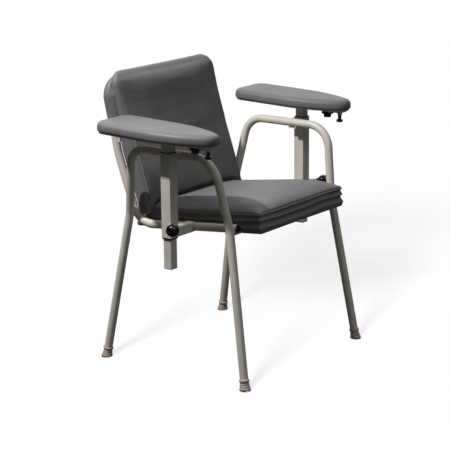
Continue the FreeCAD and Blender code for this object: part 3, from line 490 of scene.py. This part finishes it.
seat_half, seat_front, seat_rear, seat_corner, seat_pull = 193.0, -252.7, 167.3, 9.0, 2.5
seat_middle_y, seat_reach = (seat_front + seat_rear) / 2, (seat_rear - seat_front) / 2
seat_outline = box_sides(seat_half, seat_front, seat_rear, (seat_corner,) * 4, seat_pull)
seat_foot, seat_edge, seat_crown, seat_roll, seat_welt = -16.3, 36.7, 23.0, 0.4, 3.2
seat_dome = dome(seat_crown, 8, seat_roll)
strap_clear_y, strap_step, step_run = -184.5, 5.0, 6.0
fold_section_mm = [(0, seat_welt), (1.2, 3.5), (2.6, 2.4), (4.4, 0.5), (5.6, 0.9), (7.0, 3.0), (9.5, 4.8),
                   (12.5, 4.6), (16, 3.2), (19.2, 1.0), (20.8, 0.3), (22.2, 1.6), (24, 4.4), (27.5, 6.0),
                   (31, 5.4), (34.5, 3.4), (38.5, 0.8), (41, 0.0), (44, 0.6), (47.5, 2.6), (50, 3.6), (53, 5.0)]
seat_side = seat_edge - seat_foot
boxing_folds = [(1 - drop / seat_side, inset) for drop, inset in fold_section_mm[::-1]]


def wander(rings):
    """Moves the folds of the boxing up and down by up to 2.5 mm along the outline, as the sum of two sine
    waves of the angle round the seat's middle. The shift fades out towards both seams."""
    x, y, z = np.moveaxis(rings, -1, 0)
    angle = np.arctan2(y - seat_middle_y, x)
    drop = (seat_edge - z) / seat_side
    free = np.clip(drop * 6, 0, 1) * np.clip((1 - drop) * 6, 0, 1)
    shift = 1.5 * np.sin(5 * angle + 0.8) + 1.0 * np.sin(11 * angle + 2.1)
    rings[..., 2] += shift * free
    return rings


def seat_layout(counts, levels):
    """The seat's grid. Its lower panel and lowest rings step up 5 mm behind the front strap."""
    lower, rings, upper = cushion_grid(seat_outline, counts, levels, seat_foot, seat_edge, seat_dome)
    rings[1:-1] = wander(rings[1:-1])
    for part in (lower, rings):
        behind = np.clip((part[..., 1] - strap_clear_y) / step_run, 0, 1)
        low = np.clip(1 - (part[..., 2] - seat_foot) / step_run, 0, 1)
        part[..., 2] += strap_step * behind * low
    return lower, rings, upper


def seat_hold(part, where):
    """1 on the lower panel, at both seams and under the back cushion, 0 on the free cover."""
    if where == "lower":
        return np.ones(part.shape[:2])
    if where == "boxing":
        held = np.zeros(part.shape[:2])
        held[[0, 1, -1]] = 1
        return held
    rows, columns = part.shape[:2]
    held = np.clip((part[..., 1] - 40) / 30, 0, 1)
    held[[0, -1]] = 1
    held[:, [0, -1]] = 1
    return held


seat_points, seat_faces = swollen(
    "seat_twin", seat_layout, (44, 48), smooth_levels([(0, 5), (.1, 3), (.5, 3), (.9, 2), (1, seat_welt)], 7),
    smooth_levels(boxing_folds, 43), in_seat_plane, seat_hold, 4.0, 1.5)
seat = new_piece("seat_cover", seat_points, seat_faces, finishes["vinyl"], "chair")
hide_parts("seat_cushion")
print("seat cover:", len(seat.data.polygons), "quads")

# %% [markdown]
# ## The back
# The back is two pads on a board that follows the bent uprights: a tall front cushion, and a flatter pad
# behind that hides the hoop at the top. Both are laid out flat, with the third coordinate pointing away
# from the uprights, and then bent: the uprights lean back 20 degrees below a bend and 11 degrees above it.

# %% The uprights' line
lower_lean, upper_lean = math.radians(70.0), math.radians(79.0)
bend_radius, bend_y, bend_z = 300.0, 206.1, 560.014
bend_reach = bend_radius * math.tan((upper_lean - lower_lean) / 2)


def on_back(points):
    """Bends flat points (x, height, distance in front of the uprights) to the uprights: a straight line,
    an arc of 300 mm radius, and a steeper straight line, with the distance taken square to it."""
    x, height, forward = np.moveaxis(points, -1, 0)
    low_end = bend_z - bend_reach * math.sin(lower_lean)
    high_end = bend_z + bend_reach * math.sin(upper_lean)
    centre_y = bend_y - bend_reach * math.cos(lower_lean) - bend_radius * math.sin(lower_lean)
    centre_z = low_end + bend_radius * math.cos(lower_lean)
    swing = np.arcsin(np.clip((height - centre_z) / bend_radius, -1, 1))
    y = np.where(height <= low_end, bend_y - (bend_z - height) / math.tan(lower_lean),
                 np.where(height >= high_end, bend_y + (height - bend_z) / math.tan(upper_lean),
                          centre_y + bend_radius * np.cos(swing)))
    angle = np.where(height <= low_end, lower_lean,
                     np.where(height >= high_end, upper_lean, swing + math.pi / 2))
    return np.stack([x, y - np.sin(angle) * forward, height + np.cos(angle) * forward], -1)


# %% The front cushion of the back
back_low, back_high, back_rear_face, back_depth = 404.0, 772.0, 16.8, 51.0
back_outline = box_sides(213.0, back_low, back_high, (6.0, 6.0, 40.0, 40.0), 0.8)
depth_shares = np.array([(0, .82), (.11, .93), (.27, .99), (.4, 1), (.53, .935), (.64, .82), (.75, .73),
                         (.89, .67), (.93, .65), (.97, .56), (1, .42)])
back_side_profile = [(0, 1.5), (.05, .4), (.2, 0), (.5, .3), (.66, 1.0), (.78, 3.0), (.88, 6.4), (.95, 10.5),
                     (1, 15.0)]
back_bulge, beside_seat, seat_gap, foot_fade = 11.0, 12.0, 0.3, 70.0


def seat_top(x, y):
    """Height of the seat's crown over its own plane, from its place in that plane.
    Beside the seat it is the place where the back's foot ends, a little below the seam."""
    a = np.clip(x / (seat_half - seat_welt), -1, 1)
    b = np.clip((y - seat_middle_y) / (seat_reach - seat_welt), -1, 1)
    return np.where(np.abs(x) < seat_half, seat_edge + seat_dome(a, b), seat_edge - beside_seat)


def rest_on_seat(points):
    """Lifts the foot of the back so that it follows the seat's crown, fading out over 70 mm.
    Four rounds of correction bring each point of the foot to 0.3 mm above the seat."""
    height = points[..., 1].copy()
    for _ in range(4):
        foot = np.stack([points[..., 0], height, points[..., 2]], -1)
        x, y, z = np.moveaxis(on_back(foot), -1, 0)
        z = z - rail_height
        flat_y = y * math.cos(seat_fall) - z * math.sin(seat_fall)
        flat_z = y * math.sin(seat_fall) + z * math.cos(seat_fall)
        at_foot = points[..., 1] < back_low + 0.01
        height = height + np.where(at_foot, seat_top(x, flat_y) + seat_gap - flat_z, 0)
    return height


def back_layout(counts, levels):
    """The front cushion's grid, its thickness following the shares of the height."""
    lower, rings, upper = cushion_grid(back_outline, counts, levels, 0.0, 1.0, dome(0, 4))
    rows, columns = upper.shape[:2]
    bulge = dome(back_bulge, 3)(np.linspace(-1, 1, columns)[None], np.linspace(-1, 1, rows)[:, None] ** 3)
    for part in (lower, rings, upper):
        share = np.clip((part[..., 1] - back_low) / (back_high - back_low), 0, 1)
        depth = back_depth * np.interp(share, depth_shares[:, 0], depth_shares[:, 1])
        part[..., 2] = back_rear_face + part[..., 2] * (depth - back_bulge)
    upper[..., 2] += bulge
    for part in (lower, rings, upper):
        flat = part.copy()
        flat[..., 1] = back_low
        lift = rest_on_seat(flat) - back_low
        fade = np.clip(1 - (part[..., 1] - back_low) / foot_fade, 0, 1) ** 1.5
        part[..., 1] += lift * fade
    return lower, rings, upper


def seam_hold(part, where):
    """1 on the lower panel and at both seams, 0 on the free cover."""
    held = np.zeros(part.shape[:2])
    if where == "lower":
        held[:] = 1
    if where == "boxing":
        held[[0, 1, -1]] = 1
    if where == "upper":
        held[[0, -1]] = 1
        held[:, [0, -1]] = 1
    return held


back_points, back_faces = swollen(
    "back_twin", back_layout, (46, 42), smooth_levels([(0, 1.5), (.2, 0), (.78, 3), (1, 15)], 7),
    smooth_levels(back_side_profile, 19), on_back, seam_hold, 4.0, 3.0)
back_front = new_piece("back_front_cover", back_points, back_faces, finishes["vinyl"], "chair")
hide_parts("back_front_cushion")
print("back cover:", len(back_front.data.polygons), "quads")

# %% [markdown]
# ## The rear pad
# Behind the uprights a wide, low pad closes the top of the back. Its edge is rolled over the hoop,
# and its corners are rounder than the front's. At each side its cover comes forward past the upright in a
# tapered lip, which ends in a seam on the side of the front cushion. The lip is made of the first rings:
# their share of the depth is negative, and it counts only where the side is straight.

# %% The rear pad
rear_low, rear_high, rear_front_face, rear_depth = 633.0, 763.0, 15.8, 41.0
rear_outline = box_sides(226.0, rear_low, rear_high, (8.0, 8.0, 56.0, 56.0), 0.8)
rear_profile = [(0, 12.9), (-.27, 12.7), (-.285, 12.0), (-.27, 11.2), (-.20, 8.4), (-.10, 5.0), (0, 2.4),
                (.10, .6), (.22, 0), (.45, 0), (.55, .8), (.70, 3.2), (.86, 7.6), (.95, 11.0), (1, 13.0)]
lip_full, lip_gone, lip_inner_x, lip_run, lip_rings = 712.0, 742.0, 150.0, 50.0, 8
rear_bulge, rear_sunk = 7.5, 6.0
rear_depth_shares = np.array([(0, .80), (.12, .86), (.3, .92), (.6, .92), (.8, .84), (.93, .72), (1, .60)])


def rear_layout(counts, levels):
    """The rear pad's grid. Its depth shrinks towards the top and the foot, and its broad face is crowned."""
    lower, rings, upper = cushion_grid(rear_outline, counts, levels, 0.0, 1.0, dome(0, 4))
    rows, columns = upper.shape[:2]
    bulge = dome(rear_bulge, 3)(np.linspace(-1, 1, columns)[None], np.linspace(-1, 1, rows)[:, None])
    for part in (lower, rings, upper):
        share = np.clip((part[..., 1] - rear_low) / (rear_high - rear_low), 0, 1)
        depth = rear_depth * np.interp(share, rear_depth_shares[:, 0], rear_depth_shares[:, 1])
        at_side = np.clip((lip_gone - part[..., 1]) / (lip_gone - lip_full), 0, 1)
        at_side = at_side * np.clip((np.abs(part[..., 0]) - lip_inner_x) / lip_run, 0, 1)
        level = np.where(part[..., 2] < 0, part[..., 2] * at_side, part[..., 2])
        part[..., 2] = -rear_front_face + level * (depth - rear_sunk)
    upper[..., 2] += bulge
    return lower, rings, upper


def rear_hold(part, where):
    """Like seam_hold, with the whole lip held."""
    held = seam_hold(part, where)
    if where == "boxing":
        held[:lip_rings] = 1
    return held


def behind_back(points):
    """Like on_back, for a pad laid out face down: x and the distance change sign."""
    return on_back(points * np.array([-1, 1, -1]))


rear_points, rear_faces = swollen(
    "rear_twin", rear_layout, (56, 18), rear_profile, rear_profile, behind_back, rear_hold, 4.0, 3.0)
rear_pad = new_piece("back_rear_cover", rear_points, rear_faces, finishes["vinyl"], "chair")
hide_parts("back_rear_pad")
print("rear cover:", len(rear_pad.data.polygons), "quads")

# %% [markdown]
# ## The arm pads
# Each armrest is a firm foam pad on a board, wrapped in one piece of vinyl: nearly flat on top, rolled over
# a small radius, with a long rounded nose in front and a squarer tail. The cover is tucked in under its edge.

# %% The arm pads
post_x, post_y, pad_centre_y = 298.0, -38.1, -16.4
pad_foot, pad_rise, bar_foot, pad_fall = 643.7, 30.0, 635.4, math.radians(1.5)
pad_half, pad_reach, nose_radius, tail_radius, pad_crown = 70.0, 178.0, 36.0, 38.0, 1.8
pad_profile = [(0, 4.6), (.05, 1.8), (.16, .3), (.34, 0), (.54, .5), (.66, 1.4), (.76, 2.9), (.85, 5.2),
               (.92, 8.2), (.97, 11.6), (1, 15.5)]


def pad_sides():
    """The armrest's outline as four lines: nose, side, tail, side. The side is an arc that meets the nose
    smoothly: its radius is (half^2 + n^2 - r^2) / (2 (half - r)), where r is the nose's radius and n the
    distance of its centre from the pad's middle."""
    centre = (0.0, nose_radius - pad_reach)
    radius = (pad_half ** 2 + centre[1] ** 2 - nose_radius ** 2) / (2 * (pad_half - nose_radius))
    lean = math.degrees(math.atan2(-centre[1], radius - pad_half))
    tail = pad_reach - tail_radius
    side = np.concatenate([arc(centre, nose_radius, 315, 360 - lean),
                           arc((pad_half - radius, 0), radius, -lean, 0)[1:],
                           arc((pad_half - tail_radius, tail), tail_radius, 0, 45)])
    back = np.concatenate([arc((pad_half - tail_radius, tail), tail_radius, 45, 90),
                           arc((tail_radius - pad_half, tail), tail_radius, 90, 135)])
    return [arc(centre, nose_radius, 225, 315), side, back, (side * [-1, 1])[::-1]]


def pad_layout(counts, levels):
    seam = pad_foot + pad_rise - pad_crown
    return cushion_grid(pad_sides(), counts, levels, pad_foot, seam, dome(pad_crown, 3))


def on_arm(points):
    """Moves a pad from the middle to the left armrest and tips it 1.5 degrees towards its nose."""
    x, y, z = np.moveaxis(points, -1, 0)
    y, z = y + pad_centre_y - post_y, z - bar_foot
    return np.stack([x + post_x, post_y + y * math.cos(pad_fall) - z * math.sin(pad_fall),
                     bar_foot + y * math.sin(pad_fall) + z * math.cos(pad_fall)], -1)


pad_points, pad_faces = swollen(
    "pad_twin", pad_layout, (20, 44), smooth_levels([(0, 4.6), (.34, 0), (.76, 2.9), (1, 15.5)], 6),
    smooth_levels(pad_profile, 12), on_arm, seam_hold, 3.0, 1.0)
for side, sign in (("left", 1), ("right", -1)):
    shift = np.array([post_x * (sign - 1), 0, 0])
    cover = new_piece(side + "_arm_pad_cover", pad_points + shift, pad_faces, finishes["vinyl"],
                      side + "_pad")
    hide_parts(side + "_arm_pad_cushion")
print("arm pad cover:", len(pad_faces), "quads")

# %% [markdown]
# ## Ball knobs
# The height clamps have black moulded ball knobs: a sphere that runs into a short neck over a small fillet,
# with the mould's parting line left as a hair-thin ridge round the widest place.
# A lathe profile gives all of it, so each knob is one profile turned round its screw.

# %% Ball knobs
knob_z, ball_radius, ball_middle = 417.4, 17.0, 63.5


def ball_profile():
    """Neck from 43.3 mm to the ball, whose centre is 63.5 mm from the post's axis and whose radius is 17 mm:
    a straight neck, a fillet, and an arc of the sphere with a ridge 0.15 mm high at its middle."""
    turn = np.radians(np.linspace(150, 0, 44))
    ridge = 0.15 * np.exp(-((turn - np.pi / 2) / 0.025) ** 2)
    ball = np.stack([(ball_radius + ridge) * np.sin(turn), ball_middle + ball_radius * np.cos(turn)], -1)
    neck = np.array([(0, 43.32), (7.4, 43.32), (8.2, 43.6), (8.5, 44.3), (8.5, 47.2)])
    return np.concatenate([neck, ball[1:-1], [(0, ball_middle + ball_radius)]])


for side, sign in (("left", 1), ("right", -1)):
    points, faces = turned(ball_profile(), (sign * post_x, post_y, knob_z), (sign, -1, 0), 48)
    mesh = new_piece(side + "_ball_knob", points, faces, finishes["knob"], side + "_clamp")
    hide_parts(side + "_clamp_ball_knob")
print("ball knobs: 2")

# %% [markdown]
# ## Plunger springs
# Each pad locks with a spring plunger in the carrier bar. Its coil stands on the barrel's floor, and the pull
# travels 4 mm.
# Here each coil only gets a mesh of its own.

# %% Plunger springs
for side, sign in (("left", 1), ("right", -1)):
    coil = bpy.data.objects[side + "_plunger_spring"]
    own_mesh(coil)

# %% [markdown]
# ## Rubber feet
# The legs end in moulded ferrules: a flared base, a ribbed waist that bends a little, and a thick rim
# round the tube. Each is turned on its leg's own axis and then cut level with the floor.

# %% Rubber feet
def foot_profile():
    """Half section of a ferrule from its sole upwards: a flare, three ribs as a cosine wave of 0.45 mm,
    and the rim."""
    rise = np.linspace(5.0, 22.0, 40)
    waist = 15.0 - 2.6 * np.clip((rise - 5.0) / 13.0, 0, 1) ** 0.8
    ribs = 0.45 * np.cos((rise - 5.0) / 17.0 * 2 * np.pi * 3)
    body = np.stack([waist + ribs - 0.45, rise], -1)
    sole = np.array([(0, -6.0), (13.8, -6.0), (14.8, -4.8), (15.0, -3.5), (15.0, 4.2)])
    rim = np.array([(13.0, 22.6), (13.45, 23.6), (13.5, 26.4), (13.2, 27.8), (12.4, 28.7), (11.3, 29.0),
                    (0, 29.0)])
    return np.concatenate([sole, body, rim])


foot_x, kink_x, kink_z = 262.0, 232.8, 407.0
legs = (("front", -247.9, 9.27), ("rear", 221.5, -9.82))


def leg_line(foot_y, lean, sign):
    """The leg's axis at the floor and its direction, from its foot up to the kink 407 mm above.
    It leans along the chair by the given angle in degrees."""
    foot = np.array([sign * foot_x, foot_y, 0.0])
    kink = np.array([sign * kink_x, foot_y + math.tan(math.radians(lean)) * kink_z, kink_z])
    return foot, kink - foot


for end, foot_y, lean in legs:
    for side, sign in (("left", 1), ("right", -1)):
        base, leg = leg_line(foot_y, lean, sign)
        points, faces = turned(foot_profile(), base, leg, 40)
        points[:, 2] = np.maximum(points[:, 2], 0.0)
        tip = new_piece(end + "_" + side + "_ferrule", points, faces, finishes["rubber"], "chair")
        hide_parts(end + "_" + side + "_foot")
print("feet: 4")

# %% [markdown]
# ## Camera, floor and light
# The camera's place, angle and lens were worked out from the mirrored halves of the chair in the photograph:
# it stands 4.5 m away, 53 degrees round to the sitter's right and 14 degrees up, with a long lens.
# The light is a studio's. A small key lamp high on the sitter's right, a little behind the chair, gives the
# armrests their crisp shadows. Three soft banks fill in: above the front, above the front right, and
# behind the sitter's left. A low sun reaches the floor alone and draws the long shadows on it, and the floor
# glows for the camera, so that it comes out as the photograph's clean white.

# %% Camera
azimuth, elevation, roll = np.radians([-52.793, 14.454, -0.584])
target, distance = np.array([-13.25, 0.615, 349.92]), 4513.65
backward = np.array([math.sin(azimuth) * math.cos(elevation), -math.cos(azimuth) * math.cos(elevation),
                     math.sin(elevation)])
level_right = np.array([math.cos(azimuth), math.sin(azimuth), 0.0])
level_up = np.cross(backward, level_right)
right = math.cos(roll) * level_right + math.sin(roll) * level_up
upward = -math.sin(roll) * level_right + math.cos(roll) * level_up
lens = bpy.data.cameras.new("camera")
focal_pixels, picture_pixels = 1657.6, 450
lens.sensor_width = 36.0
lens.lens = focal_pixels / picture_pixels * lens.sensor_width
camera = bpy.data.objects.new("camera", lens)
pose = np.eye(4)
pose[:3, :3] = np.stack([right, upward, backward], -1)
pose[:3, 3] = (target + backward * distance) * MM
camera.matrix_world = Matrix(pose.tolist())
bpy.context.scene.collection.objects.link(camera)
bpy.context.scene.camera = camera
bpy.context.scene.view_settings.view_transform = "Standard"
print("lens", round(lens.lens, 1), "mm, camera at", pose[:3, 3].round(3))


# %% Lights
def aimed(light, travel, reach, aim=(0.0, 0.0, 0.35)):
    """A lamp whose light travels along a direction and passes through an aim point, reach metres on."""
    travel = np.asarray(travel, float) / np.linalg.norm(travel)
    lamp = bpy.data.objects.new(light.name, light)
    side = np.cross(travel, [0.0, 0.0, 1.0])
    side /= np.linalg.norm(side)
    turn = np.eye(4)
    turn[:3, :3] = np.stack([side, np.cross(-travel, side), -travel], -1)
    turn[:3, 3] = np.asarray(aim) - travel * reach
    lamp.matrix_world = Matrix(turn.tolist())
    lamp.visible_camera = False
    bpy.context.scene.collection.objects.link(lamp)
    return lamp


key_light = bpy.data.lights.new("key", "AREA")
key_light.shape, key_light.size, key_light.energy = "DISK", 0.10, 62.0
key = aimed(key_light, (0.50, -0.25, -0.83), 2.6)
sun_light = bpy.data.lights.new("low_light", "SUN")
sun_light.energy, sun_light.angle = 12.0, 0.22
low_light = aimed(sun_light, (0.87, 0.233, -0.42), 6.5)

# %% Floor and surroundings
floor_mesh = bpy.data.meshes.new("floor")
reach = 14.0
floor_mesh.from_pydata([(-reach, -reach, 0), (reach, -reach, 0), (reach, reach, 0), (-reach, reach, 0)], [],
                       [(0, 1, 2, 3)])
floor = bpy.data.objects.new("floor", floor_mesh)
bpy.context.scene.collection.objects.link(floor)


def floor_finish():
    """White sweep: dark in the light it throws back on the chair, topped up to white for the camera."""
    material = bpy.data.materials.new("floor_white")
    material.use_nodes = True
    tree = material.node_tree
    tree.nodes.clear()
    seen_grey, thrown_grey, top_up = 0.10, 0.03, 0.80
    surface = add(tree, "ShaderNodeBsdfDiffuse", {"Color": (seen_grey, seen_grey, seen_grey, 1)})
    dim = add(tree, "ShaderNodeBsdfDiffuse", {"Color": (thrown_grey, thrown_grey, thrown_grey, 1)})
    glow = add(tree, "ShaderNodeEmission", {"Color": (1, 1, 1, 1), "Strength": top_up})
    topped = add(tree, "ShaderNodeAddShader")
    tree.links.new(surface.outputs[0], topped.inputs[0])
    tree.links.new(glow.outputs[0], topped.inputs[1])
    seen = add(tree, "ShaderNodeLightPath")
    choice = add(tree, "ShaderNodeMixShader", {"Fac": seen.outputs["Is Camera Ray"]})
    tree.links.new(dim.outputs[0], choice.inputs[1])
    tree.links.new(topped.outputs[0], choice.inputs[2])
    add(tree, "ShaderNodeOutputMaterial", {"Surface": choice.outputs[0]})
    return material


floor_mesh.materials.append(floor_finish())

# The low sun reaches the floor alone, and the key everything but the floor.
floor_only = bpy.data.collections.new("lit_by_low_light")
floor_only.objects.link(floor)
low_light.light_linking.receiver_collection = floor_only
not_floor = bpy.data.collections.new("lit_by_key")
not_floor.objects.link(floor)
not_floor.collection_objects[0].light_linking.link_state = "EXCLUDE"
key.light_linking.receiver_collection = not_floor

# Each bank is a direction and a brightness.
banks = [((0.0, -0.5, 0.866), 1.05), ((-0.354, -0.354, 0.866), 0.25), ((0.64, 0.48, 0.60), 1.8)]
fill, focus = 0.004, 9.0


def surroundings():
    """The room: three soft banks, a faint fill all round, and white where the camera looks straight at it.
    A bank's brightness falls off as e to the power 9 (cosine - 1), with the cosine between a direction
    and the middle of the bank, so it is down to half about 23 degrees away."""
    world = bpy.data.worlds.new("studio")
    world.use_nodes = True
    tree = world.node_tree
    tree.nodes.clear()
    direction = add(tree, "ShaderNodeTexCoord").outputs["Generated"]
    level = fill
    for middle, strength in banks:
        cosine = add(tree, "ShaderNodeVectorMath", {0: direction, 1: middle}, operation="DOT_PRODUCT")
        falloff = add(tree, "ShaderNodeMath", {0: cosine.outputs["Value"], 1: focus, 2: -focus},
                      operation="MULTIPLY_ADD")
        lobe = add(tree, "ShaderNodeMath", {0: falloff.outputs[0]}, operation="EXPONENT")
        level = add(tree, "ShaderNodeMath", {0: lobe.outputs[0], 1: strength, 2: level},
                    operation="MULTIPLY_ADD").outputs[0]
    room = add(tree, "ShaderNodeBackground", {"Color": (1, 1, 1, 1), "Strength": level})
    white = add(tree, "ShaderNodeBackground", {"Color": (1, 1, 1, 1), "Strength": 1.0})
    seen = add(tree, "ShaderNodeLightPath")
    choice = add(tree, "ShaderNodeMixShader", {"Fac": seen.outputs["Is Camera Ray"]})
    tree.links.new(room.outputs[0], choice.inputs[1])
    tree.links.new(white.outputs[0], choice.inputs[2])
    add(tree, "ShaderNodeOutputWorld", {"Surface": choice.outputs[0]})
    return world


bpy.context.scene.world = surroundings()
print("lights:", key.name, low_light.name)
